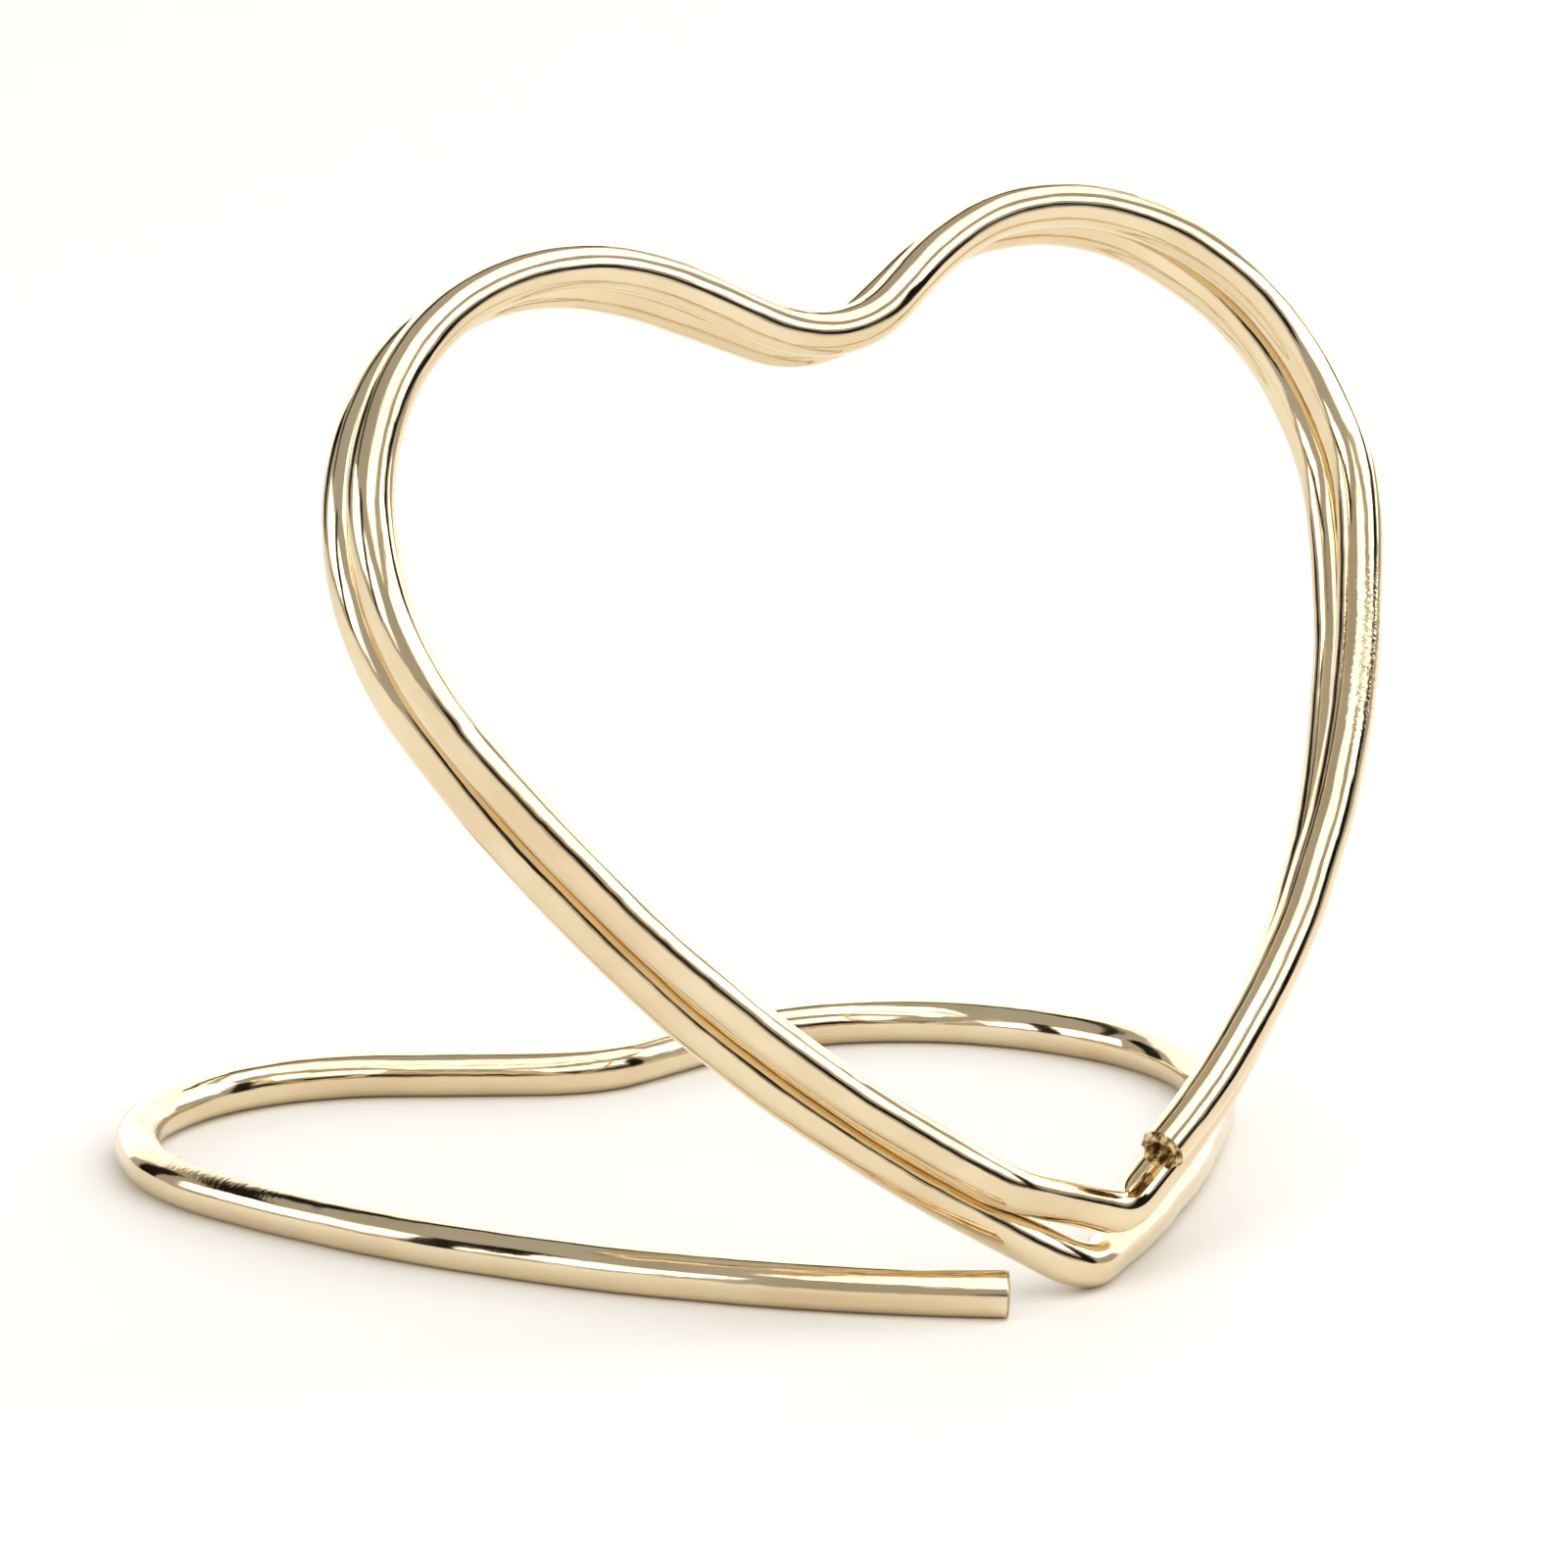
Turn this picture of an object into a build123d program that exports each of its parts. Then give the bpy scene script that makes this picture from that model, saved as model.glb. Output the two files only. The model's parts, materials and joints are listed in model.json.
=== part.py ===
from build123d import *
import os
from math import asin, atan2, cos, hypot, pi, radians, sin, sqrt, tan

# A heart-shaped wire table number holder, bent from one round metal wire.
# The wire makes two upright hearts that lie side by side and pinch the card between
# them, then turns onto the table and makes one flat heart that the holder stands on.
# The wire is made as named stretches that meet face to face.
# A heart is measured on the wire's centre line, in its own plane, sideways and upwards
# from its point.  Right and left are as seen from the front.
# +Z is up and -Y is the front.  Sizes are millimetres and degrees.

# Wire and the gaps beside it
wire_diameter = 2.0
card_slot = 0.3  # free space between the two upright turns, where the card is pinched
flex_gap = 0.12  # free space where the front turn starts to flex away from the stand

# Upright hearts
lobe_radius = 12.6
lobe_side = 12.5  # lobe centre from the axis between the lobes
lobe_height = 31.8
notch_radius = 6.2
notch_flank = 2.3  # straight stretch between the notch and the right lobe
notch_side = 0.2  # the notch, to the right of the axis between the lobes
right_arm_slope = 31.8  # of the arms, where they end beside the point
left_arm_slope = 36.1
right_arm_side = 4.9  # where the right arm ends, sideways and upwards from the point
right_arm_rise = 2.6
left_arm_side = 4.0
left_arm_rise = 2.8
lean_back = 27.8  # from upright, over the flat heart
swing = 2.7  # turn of both hearts in their plane, lobes towards the left
point_rise = 1.2  # the front turn's point above the flat heart, in wire thicknesses

# Where the rear turn differs from the front turn
rear_notch_side = 0.3
rear_notch_rise = 0.3
rear_left_drop = 0.4  # its left arm comes down lower, in wire thicknesses
rear_right_flare = 0.5  # its right arm starts further out, in wire thicknesses

# Bends at the point, and the wire's two ends
crossover_radius = 2.2
crossover_lead = 1.0  # straight run on from the front turn before it bends to cross over
heel_radius = 3.0
cut_end_side = 4.9  # the cut end of the flat heart, to the left of the heel
cut_end_front = 1.7  # and in front of it

# Flat heart
base_lobe_radius = 12.8
base_lobe_side = 13.0
base_lobe_height = 29.7
base_notch_radius = 6.3
base_notch_flank = 6.4
base_axis_side = -3.1  # the axis between the lobes, from the heel
base_right_slope = 42.0
base_left_slope = 27.6
base_swing = -3.9

wire_radius = wire_diameter / 2
turn_pitch = wire_diameter + card_slot
point_height = wire_radius + point_rise * wire_diameter


def notch_centre(side, size, flank_length, lobe, lobe_size):
    """Centre of a notch arc that a straight flank of this length joins to a lobe arc."""
    across = lobe[0] - side
    return (side, lobe[1] + sqrt((size + lobe_size) ** 2 + flank_length**2 - across**2))


def flank(notch, notch_size, lobe, lobe_size):
    """Heading and ends of the straight flank between a notch arc and a lobe arc."""
    across, up = lobe[0] - notch[0], lobe[1] - notch[1]
    heading = atan2(up, across) + asin((notch_size + lobe_size) / hypot(across, up))
    start = (notch[0] + notch_size * sin(heading), notch[1] - notch_size * cos(heading))
    end = (lobe[0] - lobe_size * sin(heading), lobe[1] + lobe_size * cos(heading))
    return heading, start, end


def arm(lobe, lobe_size, foot, slope):
    """Centre of the arc from a lobe to the arm's foot, and where it leaves the lobe."""
    across, up = foot[0] - lobe[0], foot[1] - lobe[1]
    depth = up * cos(slope) - across * sin(slope)
    size = (lobe_size**2 - across**2 - up**2) / (2 * (depth + lobe_size))
    centre = (foot[0] - size * sin(slope), foot[1] + size * cos(slope))
    stretch = lobe_size / hypot(lobe[0] - centre[0], lobe[1] - centre[1])
    leave = (
        lobe[0] + stretch * (lobe[0] - centre[0]),
        lobe[1] + stretch * (lobe[1] - centre[1]),
    )
    return centre, leave


def clockwise_arc(place, centre, start, end):
    """Arc about centre from start clockwise to end, put in space by place."""
    first = atan2(start[1] - centre[1], start[0] - centre[0])
    last = atan2(end[1] - centre[1], end[0] - centre[0])
    middle = first - ((first - last) % (2 * pi)) / 2
    size = hypot(start[0] - centre[0], start[1] - centre[1])
    crown = (centre[0] + size * cos(middle), centre[1] + size * sin(middle))
    return ThreePointArc(place(start), place(crown), place(end))


def heart(plane, lobe_size, lobes, notch_size, notch, feet, slopes):
    """Edges of each stretch of a heart; lobes, feet and slopes are (right, left)."""
    stretches = {}
    flanks = {}
    for side, hand in enumerate((1, -1)):

        def place(point, hand=hand):
            return plane.from_local_coords((hand * point[0], point[1], 0))

        valley = (hand * notch[0], notch[1])
        lobe = (hand * lobes[side][0], lobes[side][1])
        foot = (hand * feet[side][0], feet[side][1])
        heading, start, end = flank(valley, notch_size, lobe, lobe_size)
        centre, leave = arm(lobe, lobe_size, foot, radians(slopes[side]))
        name = ("right", "left")[side]
        stretches[name + "_lobe"] = [clockwise_arc(place, lobe, end, leave)]
        stretches[name + "_arm"] = [clockwise_arc(place, centre, leave, foot)]
        flanks[name] = (heading, place(start), place(end))
    right_heading, right_start, right_end = flanks["right"]
    left_heading, left_start, left_end = flanks["left"]
    lowest = (right_heading - left_heading) / 2
    valley_floor = (notch[0] + notch_size * sin(lowest), notch[1] - notch_size * cos(lowest))
    stretches["notch"] = [
        Line(left_end, left_start),
        ThreePointArc(left_start, plane.from_local_coords((*valley_floor, 0)), right_start),
        Line(right_start, right_end),
    ]
    return stretches


def tube(edges):
    """A stretch of the wire along connected edges."""
    path = Wire(edges)
    return sweep(Plane(origin=path @ 0, z_dir=path % 0) * Circle(wire_radius), path=path)


def moved_out(foot, slope, shift):
    """A right arm's foot, moved square to its slope, out of the heart."""
    return (foot[0] + shift * sin(radians(slope)), foot[1] - shift * cos(radians(slope)))


def upright_plane(offset):
    """Plane of an upright heart, offset behind the front turn."""
    lean, turn = radians(lean_back), radians(swing)
    front = Vector(0, -cos(lean), sin(lean))
    side = Vector(cos(turn), sin(lean) * sin(turn), cos(lean) * sin(turn))
    point = Vector(0, 0, point_height)
    return Plane(origin=point - front * offset, x_dir=side, z_dir=front)


def direction(plane, slope, hand):
    """Unit vector that runs down an arm's end line towards the heart's point."""
    level, fall = -hand * cos(radians(slope)), -sin(radians(slope))
    return plane.x_dir * level + plane.y_dir * fall


# The two upright hearts
front_plane = upright_plane(0.0)
rear_plane = upright_plane(turn_pitch)
upright_lobes = ((lobe_side, lobe_height), (-lobe_side, lobe_height))
slopes = (right_arm_slope, left_arm_slope)
front_feet = ((right_arm_side, right_arm_rise), (-left_arm_side, left_arm_rise))
rear_feet = (
    moved_out(front_feet[0], right_arm_slope, rear_right_flare * wire_diameter),
    (-left_arm_side, left_arm_rise - rear_left_drop * wire_diameter),
)
front_notch = notch_centre(notch_side, notch_radius, notch_flank, upright_lobes[0], lobe_radius)
rear_notch = (rear_notch_side, front_notch[1] + rear_notch_rise)
front = heart(
    front_plane, lobe_radius, upright_lobes, notch_radius, front_notch, front_feet, slopes
)
rear = heart(
    rear_plane, lobe_radius, upright_lobes, notch_radius, rear_notch, rear_feet, slopes
)

# The heel: the rear turn's left arm runs on down its own line until it is on the table
rear_left_foot = rear_plane.from_local_coords((*rear_feet[1], 0))
rear_left_line = direction(rear_plane, left_arm_slope, -1)
heel = rear_left_foot + rear_left_line * ((wire_radius - rear_left_foot.Z) / rear_left_line.Z)

# The flat heart
turn = radians(base_swing)
base_plane = Plane(origin=heel, x_dir=(cos(turn), sin(turn), 0), z_dir=(0, 0, 1))
base_lobes = (
    (base_axis_side + base_lobe_side, base_lobe_height),
    (base_axis_side - base_lobe_side, base_lobe_height),
)
base_feet = (
    (heel_radius, heel_radius * tan(radians(base_right_slope))),
    (-cut_end_side, -cut_end_front),
)
base_notch = notch_centre(
    base_axis_side, base_notch_radius, base_notch_flank, base_lobes[0], base_lobe_radius
)
base_slopes = (base_right_slope, base_left_slope)
base = heart(
    base_plane, base_lobe_radius, base_lobes, base_notch_radius, base_notch, base_feet, base_slopes
)
heel_path = FilletPolyline(
    rear_left_foot,
    heel,
    base_plane.from_local_coords((*base_feet[0], 0)),
    radius=heel_radius,
)

# The crossover: from the front turn's left arm, under the snipped end, to the rear turn
front_left_foot = front_plane.from_local_coords((*front_feet[1], 0))
front_left_line = direction(front_plane, left_arm_slope, -1)
hinge = front_left_foot
crossover_start = front_left_foot + front_left_line * flex_gap
crossing = front_left_foot + front_left_line * crossover_lead
rear_right_foot = rear_plane.from_local_coords((*rear_feet[0], 0))
rear_right_line = direction(rear_plane, right_arm_slope, 1)
landing = rear_right_foot + rear_right_line * crossover_radius
crossover_path = FilletPolyline(
    crossover_start, crossing, landing, rear_right_foot, radius=crossover_radius
)

# Named stretches, in the wire's order from the snipped end to the cut end
order = ("right_arm", "right_lobe", "notch", "left_lobe", "left_arm")
solids = {"front_heart_" + name: tube(front[name]) for name in order}
solids["crossover_bend"] = tube(crossover_path.edges())
solids |= {"rear_heart_" + name: tube(rear[name]) for name in order}
solids["heel_bend"] = tube(heel_path.edges())
solids |= {"base_heart_" + name: tube(base[name]) for name in order}

# The row's origin is the middle of the holder's footprint, on the table
box = Compound(list(solids.values())).bounding_box()
middle = Vector((box.min.X + box.max.X) / 2, (box.min.Y + box.max.Y) / 2, 0)
os.makedirs("parts", exist_ok=True)
for name, solid in solids.items():
    export_step(Pos(-middle) * solid, f"parts/{name}.step")

print("flex axis point", hinge - middle, "along", front_plane.x_dir)
print("heel", heel - middle, "size", box.size)
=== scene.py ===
import json
from math import acos, asin, atan2, cos, hypot, pi, radians, sin, sqrt, tan

import bmesh
import bpy
import numpy as np
from mathutils import Matrix, Vector


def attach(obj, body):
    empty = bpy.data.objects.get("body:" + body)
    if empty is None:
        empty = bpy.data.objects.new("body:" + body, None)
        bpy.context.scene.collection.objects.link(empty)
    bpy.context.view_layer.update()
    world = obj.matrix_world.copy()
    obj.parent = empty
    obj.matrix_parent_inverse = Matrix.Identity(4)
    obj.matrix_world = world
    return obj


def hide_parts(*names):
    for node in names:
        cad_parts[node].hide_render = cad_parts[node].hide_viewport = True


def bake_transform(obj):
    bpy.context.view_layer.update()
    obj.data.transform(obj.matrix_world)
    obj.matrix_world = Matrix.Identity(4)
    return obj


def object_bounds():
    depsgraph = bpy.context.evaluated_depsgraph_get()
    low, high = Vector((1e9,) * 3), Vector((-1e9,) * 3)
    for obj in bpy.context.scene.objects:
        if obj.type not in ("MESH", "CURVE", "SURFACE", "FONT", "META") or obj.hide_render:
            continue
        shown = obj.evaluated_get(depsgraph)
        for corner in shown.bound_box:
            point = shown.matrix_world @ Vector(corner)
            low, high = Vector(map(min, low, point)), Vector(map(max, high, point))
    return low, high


# The look of a heart-shaped wire table number holder: one plated gold wire, drawn as a
# smooth tube over the CAD stretches.  The wire's line is worked out from the part's own
# driving sizes, in millimetres, and every Blender object is in metres in the CAD's frame.

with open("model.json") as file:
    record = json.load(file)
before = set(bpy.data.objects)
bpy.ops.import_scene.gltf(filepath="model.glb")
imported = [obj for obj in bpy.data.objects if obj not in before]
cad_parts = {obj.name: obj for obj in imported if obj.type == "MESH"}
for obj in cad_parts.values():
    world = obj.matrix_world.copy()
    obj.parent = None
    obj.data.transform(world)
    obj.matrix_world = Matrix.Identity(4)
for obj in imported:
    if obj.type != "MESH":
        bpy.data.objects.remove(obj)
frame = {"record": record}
cad_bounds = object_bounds()

MM = 0.001

# Driving sizes of the wire's line, as in the part
WIRE_RADIUS = 1.0
TURN_PITCH = 2.3
UPRIGHT = {
    "lobe_radius": 12.6,
    "lobe_side": 12.5,
    "lobe_height": 31.8,
    "notch_radius": 6.2,
    "notch_flank": 2.3,
    "notch_side": 0.2,
    "right_slope": 31.8,
    "left_slope": 36.1,
    "right_foot": (4.9, 2.6),
    "left_foot": (-4.0, 2.8),
}
LEAN_BACK = 27.8
SWING = 2.7
POINT_HEIGHT = 2.4
REAR_NOTCH_SIDE = 0.3
REAR_NOTCH_RISE = 0.3
REAR_LEFT_DROP = 0.8
REAR_RIGHT_FLARE = 1.0
CROSSOVER_RADIUS = 2.2
CROSSOVER_LEAD = 1.0
HEEL_RADIUS = 3.0
CUT_END = (-4.9, -1.7)
BASE = {
    "lobe_radius": 12.8,
    "lobe_side": 13.0,
    "lobe_height": 29.7,
    "notch_radius": 6.3,
    "notch_flank": 6.4,
    "axis_side": -3.1,
    "right_slope": 42.0,
    "left_slope": 27.6,
}
BASE_SWING = -3.9

# How finely the tube is drawn
FINE_STEP = 0.02
RING_STEP = 0.2
RING_POINTS = 48
CAP_RINGS = 14
CAP_REACH = 0.97  # share of an end's radius that the rings cover, before the middle face
CAP_STEP = 0.1  # how far apart an end's rings lie in the material
SOFTEN_REACH = 40  # in fine steps
FILLET_POINTS = 60

# The small faults of a hand-bent, drawn wire
WOBBLE = 0.05
WOBBLE_WAVE = 12.0
SWELL = 0.004
SWELL_WAVE = 9.0
FLATTEN = 0.02
RIPPLE = 0.014
RIPPLE_WAVE = 0.9
MARK_NARROWNESS = 5
ARM_MARK_SHARE = 0.62  # of the way from the snipped end to the right arm's rightmost point
ARM_MARK_PAST = 21  # and this many rings further on

# The wire's two ends: the cut's broken edge, and the snip's rolled rim and torn pit
EDGE_BREAK = 0.12
EDGE_SHARE = 0.3  # of the cut end's rings
SAW_UNEVENNESS = 0.01
RIM_HEIGHT = 0.34
RIM_OVERHANG = 0.05
RIM_PLACE, RIM_WIDTH = 0.3, 0.16  # as shares of the way from the edge to the middle
PIT_DEPTH = 0.34
PIT_PLACE, PIT_WIDTH = 0.72, 0.2
LUMP_HEIGHT = 0.09
SNIP_SLANT = 0.3

# Colours of the plating and of the torn brown metal at the snip, whose dark colour is painted shade
# in its pits and whose bright colour is a painted highlight on its raised bits
GOLD_LIGHT = (0.84, 0.71, 0.49)
GOLD_DEEP = (0.76, 0.61, 0.39)
TORN_METAL_IN_PAINTED_SHADE = (0.10, 0.05, 0.015)
TORN_METAL_PAINTED_HIGHLIGHT = (0.9, 0.66, 0.32)

# The plating's finish: its least and most roughness, and the depths of its relief
POLISH = (0.05, 0.13)
SCUFF_ROUGHNESS = 0.07
TORN_ROUGHNESS = 0.2
LINE_DEPTH = 0.0035
DENT_DEPTH = 0.05
WRINKLE_DEPTH = 0.13
PIT_RELIEF = 0.5

# The table, and the colours of the cards and the backdrop
TABLE_SIZE = 6
TABLE_LIGHT = (0.95, 0.945, 0.93)
TABLE_DEEP = (0.93, 0.925, 0.91)
BLACK_CARD = (0.012, 0.01, 0.009)
BACKDROP_PAPER = (0.9, 0.9, 0.9)

# The photograph's camera, in degrees and metres
CAMERA_AZIMUTH = -33.59
CAMERA_ELEVATION = 12.35
CAMERA_DISTANCE = 0.36266
CAMERA_TARGET = (-0.0155, -0.02254, 0.02405)
CAMERA_ROLL = -1.61
CAMERA_FIELD = 10.04

# The studio: lights (name, centre, width, height, power, colour), black cards that draw the
# dark lines in the plating (name, centre, width, height), a white backdrop and the room
SOFT_BOXES = (
    ("overhead_light", (0.12, -0.2, 0.72), 1.5, 0.45, 3.6, (1, 0.99, 0.97)),
    ("front_light", (0.28, -0.72, 0.5), 1.1, 0.3, 2.0, (1, 0.99, 0.97)),
    ("left_light", (-0.85, 0.08, 0.33), 1.25, 0.42, 3.4, (1, 0.99, 0.97)),
    ("right_light", (0.82, 0.0, 0.4), 0.5, 0.4, 1.2, (1, 0.98, 0.95)),
)
CARDS = (
    ("front_card", (0.2, -0.8, 0.16), 1.6, 0.16),
    ("rear_gap_card", (0.0, 0.5, 0.62), 1.6, 0.12),
    ("left_line_card", (-0.7, -0.02, 0.28), 0.15, 0.5),
    ("left_gap_card", (-0.35, 0.68, 0.25), 0.2, 0.5),
    ("right_gap_card", (0.7, -0.42, 0.24), 0.22, 0.48),
)
BACKDROP_PLACE = (0.87, 1.3, 0.5)
BACKDROP_WIDTH, BACKDROP_HEIGHT = 3.2, 1.6
BACKDROP_GLOW = 1.0
ROOM_COLOUR = (1.0, 0.96, 0.9)
ROOM_STRENGTH = 0.47


# ---------------------------------------------------------------- the wire's line


def flank(notch, notch_size, lobe, lobe_size):
    """Ends of the straight flank between a notch arc and a lobe arc."""
    across, up = lobe[0] - notch[0], lobe[1] - notch[1]
    heading = atan2(up, across) + asin((notch_size + lobe_size) / hypot(across, up))
    start = (notch[0] + notch_size * sin(heading), notch[1] - notch_size * cos(heading))
    end = (lobe[0] - lobe_size * sin(heading), lobe[1] + lobe_size * cos(heading))
    return start, end


def notch_centre(side, size, flank_length, lobe, lobe_size):
    """Centre of a notch arc that a straight flank of this length joins to a lobe arc."""
    across = lobe[0] - side
    return (side, lobe[1] + sqrt((size + lobe_size) ** 2 + flank_length**2 - across**2))


def arm(lobe, lobe_size, foot, slope):
    """Centre of the arc from a lobe to the arm's foot, and where it leaves the lobe."""
    across, up = foot[0] - lobe[0], foot[1] - lobe[1]
    depth = up * cos(slope) - across * sin(slope)
    size = (lobe_size**2 - across**2 - up**2) / (2 * (depth + lobe_size))
    centre = (foot[0] - size * sin(slope), foot[1] + size * cos(slope))
    stretch = lobe_size / hypot(lobe[0] - centre[0], lobe[1] - centre[1])
    leave = (
        lobe[0] + stretch * (lobe[0] - centre[0]),
        lobe[1] + stretch * (lobe[1] - centre[1]),
    )
    return centre, leave


def clockwise_arc(centre, start, end):
    """Points about centre from start clockwise to end."""
    first = atan2(start[1] - centre[1], start[0] - centre[0])
    last = atan2(end[1] - centre[1], end[0] - centre[0])
    sweep = (first - last) % (2 * pi)
    size = hypot(start[0] - centre[0], start[1] - centre[1])
    angles = first - sweep * np.linspace(0, 1, max(2, int(size * sweep / FINE_STEP)))
    return np.column_stack((centre[0] + size * np.cos(angles), centre[1] + size * np.sin(angles)))


def half_heart(hand, lobe, lobe_size, notch, notch_size, foot, slope):
    """Line from the notch's floor out over the lobe on one hand and down to the foot."""
    valley = (hand * notch[0], notch[1])
    lobe = (hand * lobe[0], lobe[1])
    foot = (hand * foot[0], foot[1])
    start, end = flank(valley, notch_size, lobe, lobe_size)
    centre, leave = arm(lobe, lobe_size, foot, radians(slope))
    floor = (valley[0], valley[1] - notch_size)
    dip = clockwise_arc(valley, start, floor)[::-1]
    line = np.vstack((dip, clockwise_arc(lobe, end, leave), clockwise_arc(centre, leave, foot)))
    return line * (hand, 1)


def heart(lobe_size, lobes, notch, notch_size, feet, slopes):
    """Line of a whole heart, from its right foot round to its left foot."""
    right = half_heart(1, lobes[0], lobe_size, notch, notch_size, feet[0], slopes[0])
    left = half_heart(-1, lobes[1], lobe_size, notch, notch_size, feet[1], slopes[1])
    return np.vstack((right[::-1], left))


def filleted(corners, radius):
    """Line through corners with each inner corner rounded to radius."""
    line = [corners[0]]
    for before, corner, after in zip(corners, corners[1:], corners[2:]):
        back = (before - corner) / np.linalg.norm(before - corner)
        on = (after - corner) / np.linalg.norm(after - corner)
        opening = acos(back @ on)
        middle = (back + on) / np.linalg.norm(back + on)
        centre = corner + middle * radius / sin(opening / 2)
        first = (corner + back * radius / tan(opening / 2) - centre) / radius
        last = (corner + on * radius / tan(opening / 2) - centre) / radius
        turn = pi - opening
        for share in np.linspace(0, 1, FILLET_POINTS):
            mixed = first * sin((1 - share) * turn) + last * sin(share * turn)
            line.append(centre + radius * mixed / sin(turn))
    line.append(corners[-1])
    return np.array(line)


def on_plane(origin, across, up, points):
    """Flat points put on a plane in space."""
    points = np.atleast_2d(points)
    return origin + np.outer(points[:, 0], across) + np.outer(points[:, 1], up)


def wire_line():
    """The wire's whole centre line from snipped end to cut end, and where it changes body."""
    lean, turn = radians(LEAN_BACK), radians(SWING)
    front = np.array((0, -cos(lean), sin(lean)))
    across = np.array((cos(turn), sin(lean) * sin(turn), cos(lean) * sin(turn)))
    up = np.cross(front, across)
    front_point = np.array((0, 0, WIRE_RADIUS + POINT_HEIGHT))
    rear_point = front_point - front * TURN_PITCH
    size = UPRIGHT
    lobes = ((size["lobe_side"], size["lobe_height"]), (-size["lobe_side"], size["lobe_height"]))
    slopes = (size["right_slope"], size["left_slope"])
    right, left = size["right_foot"], size["left_foot"]
    out = radians(size["right_slope"])
    rear_right = (right[0] + REAR_RIGHT_FLARE * sin(out), right[1] - REAR_RIGHT_FLARE * cos(out))
    rear_left = (left[0], left[1] - REAR_LEFT_DROP)
    valley = notch_centre(
        size["notch_side"], size["notch_radius"], size["notch_flank"], lobes[0], size["lobe_radius"]
    )
    turns = []
    for point, notch, feet in (
        (front_point, valley, (right, left)),
        (rear_point, (REAR_NOTCH_SIDE, valley[1] + REAR_NOTCH_RISE), (rear_right, rear_left)),
    ):
        flat = heart(size["lobe_radius"], lobes, notch, size["notch_radius"], feet, slopes)
        turns.append(on_plane(point, across, up, flat))

    def down_the_arm(slope, hand):
        return -hand * cos(radians(slope)) * across - sin(radians(slope)) * up

    left_line = down_the_arm(size["left_slope"], -1)
    rear_foot = turns[1][-1]
    heel = rear_foot + left_line * ((WIRE_RADIUS - rear_foot[2]) / left_line[2])
    swing = radians(BASE_SWING)
    base_across = np.array((cos(swing), sin(swing), 0))
    base_up = np.array((-sin(swing), cos(swing), 0))
    side, height = BASE["axis_side"], BASE["lobe_height"]
    base_lobes = ((side + BASE["lobe_side"], height), (side - BASE["lobe_side"], height))
    base_notch = notch_centre(
        side, BASE["notch_radius"], BASE["notch_flank"], base_lobes[0], BASE["lobe_radius"]
    )
    base_feet = ((HEEL_RADIUS, HEEL_RADIUS * tan(radians(BASE["right_slope"]))), CUT_END)
    base_slopes = (BASE["right_slope"], BASE["left_slope"])
    flat = heart(
        BASE["lobe_radius"], base_lobes, base_notch, BASE["notch_radius"], base_feet, base_slopes
    )
    base = on_plane(heel, base_across, base_up, flat)

    crossing = turns[0][-1] + left_line * CROSSOVER_LEAD
    landing = turns[1][0] + down_the_arm(size["right_slope"], 1) * CROSSOVER_RADIUS
    crossover = filleted([turns[0][-1], crossing, landing, turns[1][0]], CROSSOVER_RADIUS)
    heel_bend = filleted([rear_foot, heel, base[0]], HEEL_RADIUS)
    parts = (turns[0], crossover, turns[1], heel_bend, base)
    return np.vstack(parts), turns[0][-1], turns[1][0]


def evenly_spaced(line, step):
    """The same line with points a step apart, and each one's distance along it."""
    gaps = np.linalg.norm(np.diff(line, axis=0), axis=1)
    line = line[np.concatenate(([True], gaps > 1e-6))]
    along = np.concatenate(([0], np.cumsum(np.linalg.norm(np.diff(line, axis=0), axis=1))))
    count = int(round(along[-1] / step)) + 1
    stations = np.linspace(0, along[-1], count)
    return np.column_stack([np.interp(stations, along, line[:, i]) for i in range(3)]), stations


def softened(line, reach):
    """The line with its changes of bend eased over a reach of points, ends kept."""
    weights = np.exp(-0.5 * np.linspace(-2.5, 2.5, 2 * reach + 1) ** 2)
    weights /= weights.sum()
    head = 2 * line[0] - line[reach:0:-1]
    tail = 2 * line[-1] - line[-2 : -reach - 2 : -1]
    padded = np.vstack((head, line, tail))
    return np.column_stack([np.convolve(padded[:, i], weights, "valid") for i in range(3)])


raw_line, flex_point, settled_point = wire_line()
fine_line = evenly_spaced(raw_line, FINE_STEP)[0]

# The CAD's frame has its origin in the middle of the footprint: the wire's leftmost and
# backmost points say where that is
cad_low, cad_high = (np.array(corner) / MM for corner in cad_bounds)
to_frame = np.array(
    (
        cad_low[0] + WIRE_RADIUS - fine_line[:, 0].min(),
        cad_high[1] - WIRE_RADIUS - fine_line[:, 1].max(),
        0,
    )
)
fine_line += to_frame
flex_point += to_frame
settled_point += to_frame
line, stations = evenly_spaced(softened(fine_line, SOFTEN_REACH), RING_STEP)


def station_of(point):
    """Number of the ring nearest to a point."""
    return int(np.argmin(np.linalg.norm(line - point, axis=1)))


# ---------------------------------------------------------------- the wire's surface


def smooth_noise(places, wave, seed):
    """Gentle noise from -1 to 1 along the places, with waves about this long."""
    chance = np.random.default_rng(seed)
    total = np.zeros(len(places))
    for share in (1.0, 0.63, 0.37):
        phase, stretch = chance.uniform(0, 2 * pi), chance.uniform(0.85, 1.2)
        total += share * np.sin(2 * pi * places / (wave * share * stretch) + phase)
    return total / 2


def bump(places, centre, reach):
    """One at the centre, easing to nothing a reach away."""
    away = np.clip(np.abs(places - centre) / reach, 0, 1)
    return (1 - away**2) ** 2


def frames_along(points):
    """Two square directions at each point that turn as little as they can along the line."""
    ahead = np.gradient(points, axis=0)
    ahead /= np.linalg.norm(ahead, axis=1)[:, None]
    side = np.zeros_like(ahead)
    first = np.cross(ahead[0], (0, 0, 1))
    side[0] = first / np.linalg.norm(first)
    for i in range(1, len(points)):
        turned = side[i - 1] - ahead[i] * (side[i - 1] @ ahead[i])
        side[i] = turned / np.linalg.norm(turned)
    return ahead, side, np.cross(ahead, side)


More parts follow.
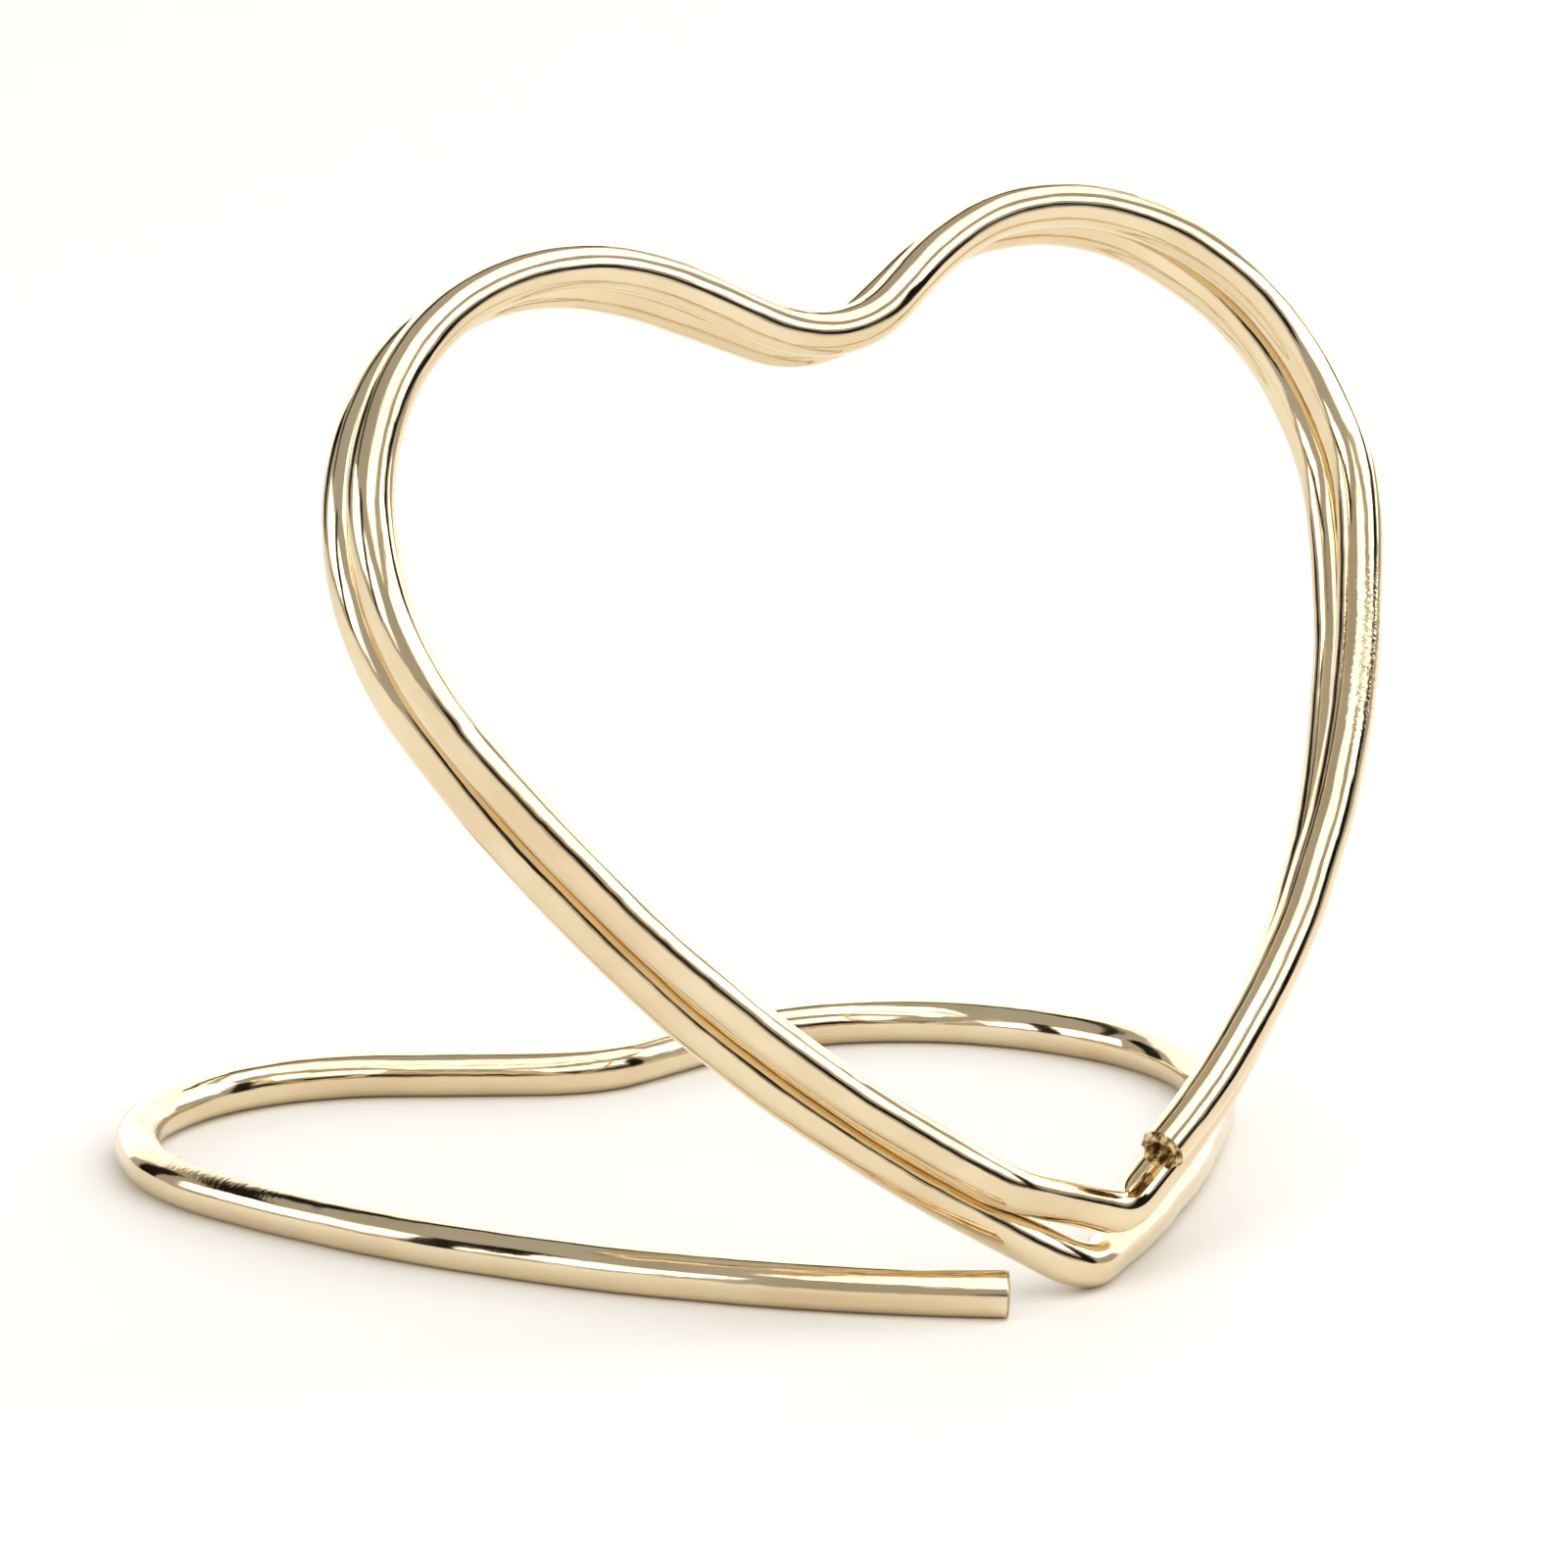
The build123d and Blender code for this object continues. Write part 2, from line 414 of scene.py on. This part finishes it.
def wobbled(points):
    """The hand-bent line: a little off the true arcs, least where it stands on the table."""
    side, other = frames_along(points)[1:]
    sideways = WOBBLE * smooth_noise(stations, WOBBLE_WAVE, 3)
    upward = WOBBLE * smooth_noise(stations, WOBBLE_WAVE * 1.3, 8)
    ends = np.clip(np.minimum(stations, stations[-1] - stations) / WOBBLE_WAVE, 0, 1)
    lifted = np.clip((points[:, 2] - WIRE_RADIUS) / WOBBLE_WAVE, 0, 1)
    moved = side * (sideways * ends)[:, None] + other * (upward * ends)[:, None]
    moved[:, 2] *= lifted
    return points + moved


flex_ring = station_of(flex_point)
settled_ring = station_of(settled_point)
line = wobbled(line)
ahead, side, other = frames_along(line)
angles = np.linspace(0, 2 * pi, RING_POINTS, endpoint=False)
round_side, round_other = np.cos(angles)[None, :, None], np.sin(angles)[None, :, None]
spokes = side[:, None] * round_side + other[:, None] * round_other


def spoke_towards(ring, direction):
    """The angle round the wire, at this ring, that faces a direction."""
    return atan2(other[ring] @ direction, side[ring] @ direction)


def tool_marks(places):
    """How marked the surface is, from 0 to 1, at each ring and angle."""
    marks = np.zeros((len(line), RING_POINTS))
    for ring, reach, strength, facing in places:
        facing_share = 0.5 + 0.5 * np.cos(angles - spoke_towards(ring, np.array(facing)))
        lengthwise = strength * bump(stations, stations[ring], reach)
        marks += lengthwise[:, None] * facing_share[None, :] ** MARK_NARROWNESS
    return np.clip(marks, 0, 1)


# The bending tool has left marks on both sides of the flat heart's leftmost point, and
# along the front of the upright right arm: (ring, reach along the wire, strength, facing)
on_table = line[:, 2] < 2 * WIRE_RADIUS
leftmost = int(np.argmin(np.where(on_table, line[:, 0], np.inf)))
rightmost = int(np.argmax(line[: flex_ring // 3, 0]))
arm_mark = int(ARM_MARK_SHARE * rightmost) + ARM_MARK_PAST
marks = tool_marks(
    (
        (leftmost + 12, 7.0, 1.0, (0.6, -0.5, 0.6)),
        (leftmost - 30, 5.0, 0.8, (0.5, 0.5, 0.6)),
        (arm_mark, 6.0, 0.35, (-0.2, -1.0, 0.1)),
    )
)
radius = WIRE_RADIUS * (1 - FLATTEN * marks)
radius += RIPPLE * marks * np.sin(2 * pi * stations / RIPPLE_WAVE)[:, None]
radius += SWELL * smooth_noise(stations, SWELL_WAVE, 5)[:, None]
surface = line[:, None] + spokes * radius[:, :, None]
surface[:, :, 2] = np.maximum(surface[:, :, 2], 0)


def wire_normals(points):
    """Unit normals of the tube, from its own neighbouring points."""
    along = np.gradient(points, axis=0)
    around = np.roll(points, -1, axis=1) - np.roll(points, 1, axis=1)
    normals = np.cross(around, along)
    normals /= np.linalg.norm(normals, axis=2)[:, :, None]
    outward = (normals * spokes).sum(axis=2).mean()
    return normals if outward > 0 else -normals


normals = wire_normals(surface)


def cap_points(ring, sign, profile):
    """Rings that close an end, from its edge to its middle: profile gives (size, reach)."""
    rows = []
    for share in np.linspace(0, CAP_REACH, CAP_RINGS + 1)[1:]:
        size, reach = profile(share)
        out = np.broadcast_to(size, (RING_POINTS,))[:, None] * spokes[ring]
        past = np.broadcast_to(reach, (RING_POINTS,))[:, None] * ahead[ring] * sign
        rows.append(line[ring] + out + past)
    return rows


def cut_profile(share):
    """A clean saw cut: the edge is broken, and the face is almost flat."""
    if share < EDGE_SHARE:
        turn = share / EDGE_SHARE * pi / 2
        return WIRE_RADIUS - EDGE_BREAK * (1 - cos(turn)), EDGE_BREAK * sin(turn)
    left = (1 - share) / (1 - EDGE_SHARE)
    face = EDGE_BREAK + SAW_UNEVENNESS * np.sin(3 * angles) * left
    return (WIRE_RADIUS - EDGE_BREAK) * left, face


def snipped_profile(share):
    """A rough snip: a ragged rolled rim round a pitted, torn face."""
    left = 1 - share
    lumps = 0.6 * np.sin(3 * angles + 1.0) + 0.5 * np.sin(5 * angles + 4 * share)
    lumps = lumps + 0.45 * np.sin(8 * angles - 9 * share)
    rim = np.exp(-(((share - RIM_PLACE) / RIM_WIDTH) ** 2))
    pit = np.exp(-(((share - PIT_PLACE) / PIT_WIDTH) ** 2))
    size = WIRE_RADIUS * (left**0.75) * (1 + RIM_OVERHANG * rim * lumps) + RIM_OVERHANG * rim
    lumpy = LUMP_HEIGHT * lumps * (rim + 0.8 * pit) * left**0.3
    slanted = SNIP_SLANT * share * np.cos(angles - 0.8) * left
    return size, RIM_HEIGHT * rim + 0.1 * share + lumpy - PIT_DEPTH * pit - slanted


def wire_piece(name, first, last, cap=None):
    """A stretch of the wire from ring to ring, with its finished normals."""
    rows = [surface[i] for i in range(first, last + 1)]
    row_normals = [normals[i] for i in range(first, last + 1)]
    row_marks = [marks[i] for i in range(first, last + 1)]
    row_places = [stations[i] for i in range(first, last + 1)]
    bare = [0.0] * len(rows)
    if cap == "snipped":
        closing = cap_points(0, -1, snipped_profile)
        rows = closing[::-1] + rows
        row_normals = [None] * CAP_RINGS + row_normals
        row_marks = [marks[0]] * CAP_RINGS + row_marks
        row_places = [stations[0] - CAP_STEP * i for i in range(CAP_RINGS, 0, -1)] + row_places
        bare = [1.0] * CAP_RINGS + bare
    if cap == "cut":
        rows += cap_points(len(line) - 1, 1, cut_profile)
        row_normals += [None] * CAP_RINGS
        row_marks += [marks[-1]] * CAP_RINGS
        row_places += [stations[-1] + CAP_STEP * i for i in range(1, CAP_RINGS + 1)]
        bare += [0.5] * CAP_RINGS
    count = len(rows)
    points = np.vstack(rows) * MM
    faces = []
    for i in range(count - 1):
        for j in range(RING_POINTS):
            k = (j + 1) % RING_POINTS
            a, b = i * RING_POINTS, (i + 1) * RING_POINTS
            faces.append((a + j, b + j, b + k, a + k))
    if cap == "snipped":
        faces.append(tuple(range(RING_POINTS)))
    if cap == "cut":
        faces.append(tuple(range(count * RING_POINTS - 1, (count - 1) * RING_POINTS - 1, -1)))
    mesh = bpy.data.meshes.new(name)
    mesh.from_pydata([tuple(p) for p in points], [], faces)
    piece = bpy.data.objects.new(name, mesh)
    bpy.context.scene.collection.objects.link(piece)
    mesh.shade_smooth()
    straight = np.zeros((count, RING_POINTS, 3))
    straight[:, :, 0] = np.cos(angles) * WIRE_RADIUS
    straight[:, :, 1] = np.sin(angles) * WIRE_RADIUS
    straight[:, :, 2] = np.array(row_places)[:, None]
    store(mesh, "straight_wire", "FLOAT_VECTOR", straight.reshape(-1, 3))
    store(mesh, "tool_marks", "FLOAT", np.array(row_marks).reshape(-1))
    store(mesh, "bare_metal", "FLOAT", np.repeat(bare, RING_POINTS))
    finish_mesh(mesh, row_normals)
    return piece


def store(mesh, name, kind, values):
    """A value for each of the mesh's points, for its material."""
    attribute = mesh.attributes.new(name, kind, "POINT")
    field = "vector" if kind == "FLOAT_VECTOR" else "value"
    attribute.data.foreach_set(field, np.asarray(values, np.float32).ravel())


def finish_mesh(mesh, row_normals):
    """Faces turned outward, with the tube's own normals on its rings and plain ones on its caps."""
    work = bmesh.new()
    work.from_mesh(mesh)
    bmesh.ops.recalc_face_normals(work, faces=work.faces)
    work.to_mesh(mesh)
    work.free()
    kept = [tuple(v.normal) for v in mesh.vertices]
    for i, row in enumerate(row_normals):
        if row is not None:
            for j in range(RING_POINTS):
                kept[i * RING_POINTS + j] = tuple(row[j])
    mesh.normals_split_custom_set_from_vertices(kept)


# ---------------------------------------------------------------- materials


def new_material(name):
    """A material, with its nodes and their links."""
    material = bpy.data.materials.new(name)
    material.use_nodes = True
    return material, material.node_tree.nodes, material.node_tree.links


def noise_node(nodes, links, source, scale, detail, stretch=(1, 1, 1)):
    """Noise over a vector, squeezed by stretch."""
    mapping = nodes.new("ShaderNodeMapping")
    mapping.inputs["Scale"].default_value = stretch
    links.new(source, mapping.inputs["Vector"])
    noise = nodes.new("ShaderNodeTexNoise")
    noise.inputs["Scale"].default_value = scale
    noise.inputs["Detail"].default_value = detail
    links.new(mapping.outputs["Vector"], noise.inputs["Vector"])
    return noise.outputs["Fac"]


def map_range(nodes, links, source, low_in, high_in, low_out, high_out):
    """A value carried from one range to another, and held there."""
    node = nodes.new("ShaderNodeMapRange")
    for socket, value in (
        ("From Min", low_in),
        ("From Max", high_in),
        ("To Min", low_out),
        ("To Max", high_out),
    ):
        node.inputs[socket].default_value = value
    links.new(source, node.inputs["Value"])
    return node.outputs["Result"]


def math_node(nodes, links, operation, first, second):
    """Two values put together."""
    node = nodes.new("ShaderNodeMath")
    node.operation = operation
    for socket, value in zip(node.inputs, (first, second)):
        if isinstance(value, (int, float)):
            socket.default_value = value
        else:
            links.new(value, socket)
    return node.outputs["Value"]


def mixed_colour(nodes, links, share, first, second):
    """A colour between two, by share."""
    node = nodes.new("ShaderNodeMix")
    node.data_type = "RGBA"
    links.new(share, node.inputs["Factor"])
    for socket, value in ((node.inputs[6], first), (node.inputs[7], second)):
        if isinstance(value, tuple):
            socket.default_value = (*value, 1)
        else:
            links.new(value, socket)
    return node.outputs[2]


def gold_plate():
    """Polished pale gold plating over drawn wire: fine lengthwise lines and marks, and specks of
    painted shade and painted highlight on the torn brown metal at the snip.
    """
    material, nodes, links = new_material("pale_gold_plating")
    shader = nodes["Principled BSDF"]
    shader.inputs["Metallic"].default_value = 1.0
    wire = nodes.new("ShaderNodeAttribute")
    wire.attribute_name = "straight_wire"
    marked = nodes.new("ShaderNodeAttribute")
    marked.attribute_name = "tool_marks"
    bare = nodes.new("ShaderNodeAttribute")
    bare.attribute_name = "bare_metal"
    place = wire.outputs["Vector"]

    # Colour: slow changes of tone in the plating, and brown torn metal at the snip, painted dark as
    # shade in the low spots of its pitting and painted bright as a highlight on the raised spots
    tone = noise_node(nodes, links, place, 0.35, 3.0, (1, 1, 0.5))
    tone = map_range(nodes, links, tone, 0.35, 0.65, 0, 1)
    plated = mixed_colour(nodes, links, tone, GOLD_LIGHT, GOLD_DEEP)
    # This noise raises the torn face's relief and also colours it: low spots get painted shade,
    # raised spots get a painted highlight
    pit_relief_and_shade_noise = noise_node(nodes, links, place, 2.6, 4.0)
    torn_shade_and_highlight_mask = map_range(nodes, links, pit_relief_and_shade_noise, 0.42, 0.6, 0, 1)
    torn_metal_with_painted_light = mixed_colour(nodes, links, torn_shade_and_highlight_mask, TORN_METAL_IN_PAINTED_SHADE, TORN_METAL_PAINTED_HIGHLIGHT)
    colour = mixed_colour(nodes, links, bare.outputs["Fac"], plated, torn_metal_with_painted_light)
    links.new(colour, shader.inputs["Base Color"])

    # Roughness: a light haze, rougher where a tool has scuffed it and where it is torn
    haze = noise_node(nodes, links, place, 1.2, 5.0, (1, 1, 0.35))
    rough = map_range(nodes, links, haze, 0.35, 0.7, *POLISH)
    for where, extra in ((marked, SCUFF_ROUGHNESS), (bare, TORN_ROUGHNESS)):
        added = math_node(nodes, links, "MULTIPLY", where.outputs["Fac"], extra)
        rough = math_node(nodes, links, "ADD", rough, added)
    links.new(rough, shader.inputs["Roughness"])

    # Relief: fine drawing lines, shallow dents, wrinkles under the tool marks, and pits
    lines = noise_node(nodes, links, place, 14.0, 4.0, (1, 1, 0.015))
    dents = noise_node(nodes, links, place, 0.5, 2.0, (1, 1, 0.6))
    wrinkles = noise_node(nodes, links, place, 3.2, 3.0, (1, 1, 1.6))
    wrinkles = math_node(nodes, links, "MULTIPLY", wrinkles, marked.outputs["Fac"])
    pitting = math_node(nodes, links, "MULTIPLY", pit_relief_and_shade_noise, bare.outputs["Fac"])
    height = math_node(nodes, links, "MULTIPLY", lines, LINE_DEPTH)
    for source, depth in ((dents, DENT_DEPTH), (wrinkles, WRINKLE_DEPTH), (pitting, PIT_RELIEF)):
        deep = math_node(nodes, links, "MULTIPLY", source, depth)
        height = math_node(nodes, links, "ADD", height, deep)
    relief = nodes.new("ShaderNodeBump")
    relief.inputs["Strength"].default_value = 1.0
    relief.inputs["Distance"].default_value = MM
    links.new(height, relief.inputs["Height"])
    links.new(relief.outputs["Normal"], shader.inputs["Normal"])
    return material


def table_top():
    """Plain matt white, with the least unevenness."""
    material, nodes, links = new_material("white_table")
    shader = nodes["Principled BSDF"]
    place = nodes.new("ShaderNodeNewGeometry").outputs["Position"]
    shade = noise_node(nodes, links, place, 6.0, 2.0)
    colour = mixed_colour(nodes, links, shade, TABLE_DEEP, TABLE_LIGHT)
    links.new(colour, shader.inputs["Base Color"])
    shader.inputs["Roughness"].default_value = 0.6
    shader.inputs["Specular IOR Level"].default_value = 0.15
    return material


# ---------------------------------------------------------------- the object

gold = gold_plate()
stretches = (
    wire_piece("front_turn_wire", 0, flex_ring, cap="snipped"),
    wire_piece("crossover_wire", flex_ring, settled_ring),
    wire_piece("stand_wire", settled_ring, len(line) - 1, cap="cut"),
)
for piece in stretches:
    piece.data.materials.append(gold)
front_wire, crossover_wire, stand_wire = stretches
bodies = frame["record"]["behaviour"]["bodies"]
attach(front_wire, "front_turn")
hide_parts(*bodies["front_turn"])
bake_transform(crossover_wire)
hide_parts("crossover_bend")
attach(stand_wire, "stand")
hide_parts(*[node for node in bodies["stand"] if node != "crossover_bend"])


# ---------------------------------------------------------------- the studio


def flat_panel(name, centre, towards, width, height):
    """A rectangle that faces a point."""
    mesh = bpy.data.meshes.new(name)
    half_width, half_height = width / 2, height / 2
    corners = [
        (-half_width, -half_height, 0),
        (half_width, -half_height, 0),
        (half_width, half_height, 0),
        (-half_width, half_height, 0),
    ]
    mesh.from_pydata(corners, [], [(0, 1, 2, 3)])
    panel = bpy.data.objects.new(name, mesh)
    bpy.context.scene.collection.objects.link(panel)
    facing = (Vector(towards) - Vector(centre)).to_track_quat("Z", "Y")
    panel.matrix_world = Matrix.Translation(centre) @ facing.to_matrix().to_4x4()
    return panel


def soft_box(name, centre, towards, width, height, power, colour):
    """A rectangular studio light that faces a point."""
    light = bpy.data.lights.new(name, "AREA")
    light.shape = "RECTANGLE"
    light.size, light.size_y = width, height
    light.energy = power
    light.color = colour
    lamp = bpy.data.objects.new(name, light)
    bpy.context.scene.collection.objects.link(lamp)
    facing = (Vector(towards) - Vector(centre)).to_track_quat("-Z", "Y")
    lamp.matrix_world = Matrix.Translation(centre) @ facing.to_matrix().to_4x4()
    return lamp


def plain_panel_material(name, colour):
    """Matt card in one colour."""
    material, nodes = new_material(name)[:2]
    shader = nodes["Principled BSDF"]
    shader.inputs["Base Color"].default_value = (*colour, 1)
    shader.inputs["Roughness"].default_value = 1.0
    shader.inputs["Specular IOR Level"].default_value = 0.0
    return material


middle = (0, 0, 0.02)
table = flat_panel("table", (0, 0, 0), (0, 0, 1), TABLE_SIZE, TABLE_SIZE)
table.data.materials.append(table_top())
black_card = plain_panel_material("black_card", BLACK_CARD)
for name, centre, width, height in CARDS:
    card = flat_panel(name, centre, middle, width, height)
    card.data.materials.append(black_card)
backdrop = flat_panel("backdrop", BACKDROP_PLACE, middle, BACKDROP_WIDTH, BACKDROP_HEIGHT)
paper = plain_panel_material("backdrop_paper", BACKDROP_PAPER)
paper_shader = paper.node_tree.nodes["Principled BSDF"]
paper_shader.inputs["Emission Color"].default_value = (1, 1, 1, 1)
paper_shader.inputs["Emission Strength"].default_value = BACKDROP_GLOW
backdrop.data.materials.append(paper)
for name, centre, width, height, power, colour in SOFT_BOXES:
    soft_box(name, centre, middle, width, height, power, colour)

world = bpy.data.worlds.new("room")
world.use_nodes = True
background = world.node_tree.nodes["Background"]
background.inputs["Color"].default_value = (*ROOM_COLOUR, 1)
background.inputs["Strength"].default_value = ROOM_STRENGTH
bpy.context.scene.world = world
bpy.context.scene.view_settings.view_transform = "Standard"


def photo_camera():
    """The camera at the photograph's place and angle."""
    round_to, above = radians(CAMERA_AZIMUTH), radians(CAMERA_ELEVATION)
    back = np.array((sin(round_to) * cos(above), -cos(round_to) * cos(above), sin(above)))
    target = np.array(CAMERA_TARGET)
    right = np.cross((0, 0, 1), back)
    right /= np.linalg.norm(right)
    up = np.cross(back, right)
    roll = radians(CAMERA_ROLL)
    tilted_right = cos(roll) * right - sin(roll) * up
    tilted_up = sin(roll) * right + cos(roll) * up
    data = bpy.data.cameras.new("photo_camera")
    data.sensor_width = 36.0
    data.lens = data.sensor_width / (2 * tan(radians(CAMERA_FIELD) / 2))
    data.clip_start, data.clip_end = 0.01, 20
    camera = bpy.data.objects.new("photo_camera", data)
    bpy.context.scene.collection.objects.link(camera)
    place = target + back * CAMERA_DISTANCE
    rows = [(*tilted_right, 0), (*tilted_up, 0), (*back, 0), (*place, 1)]
    camera.matrix_world = Matrix(rows).transposed()
    bpy.context.scene.camera = camera


photo_camera()
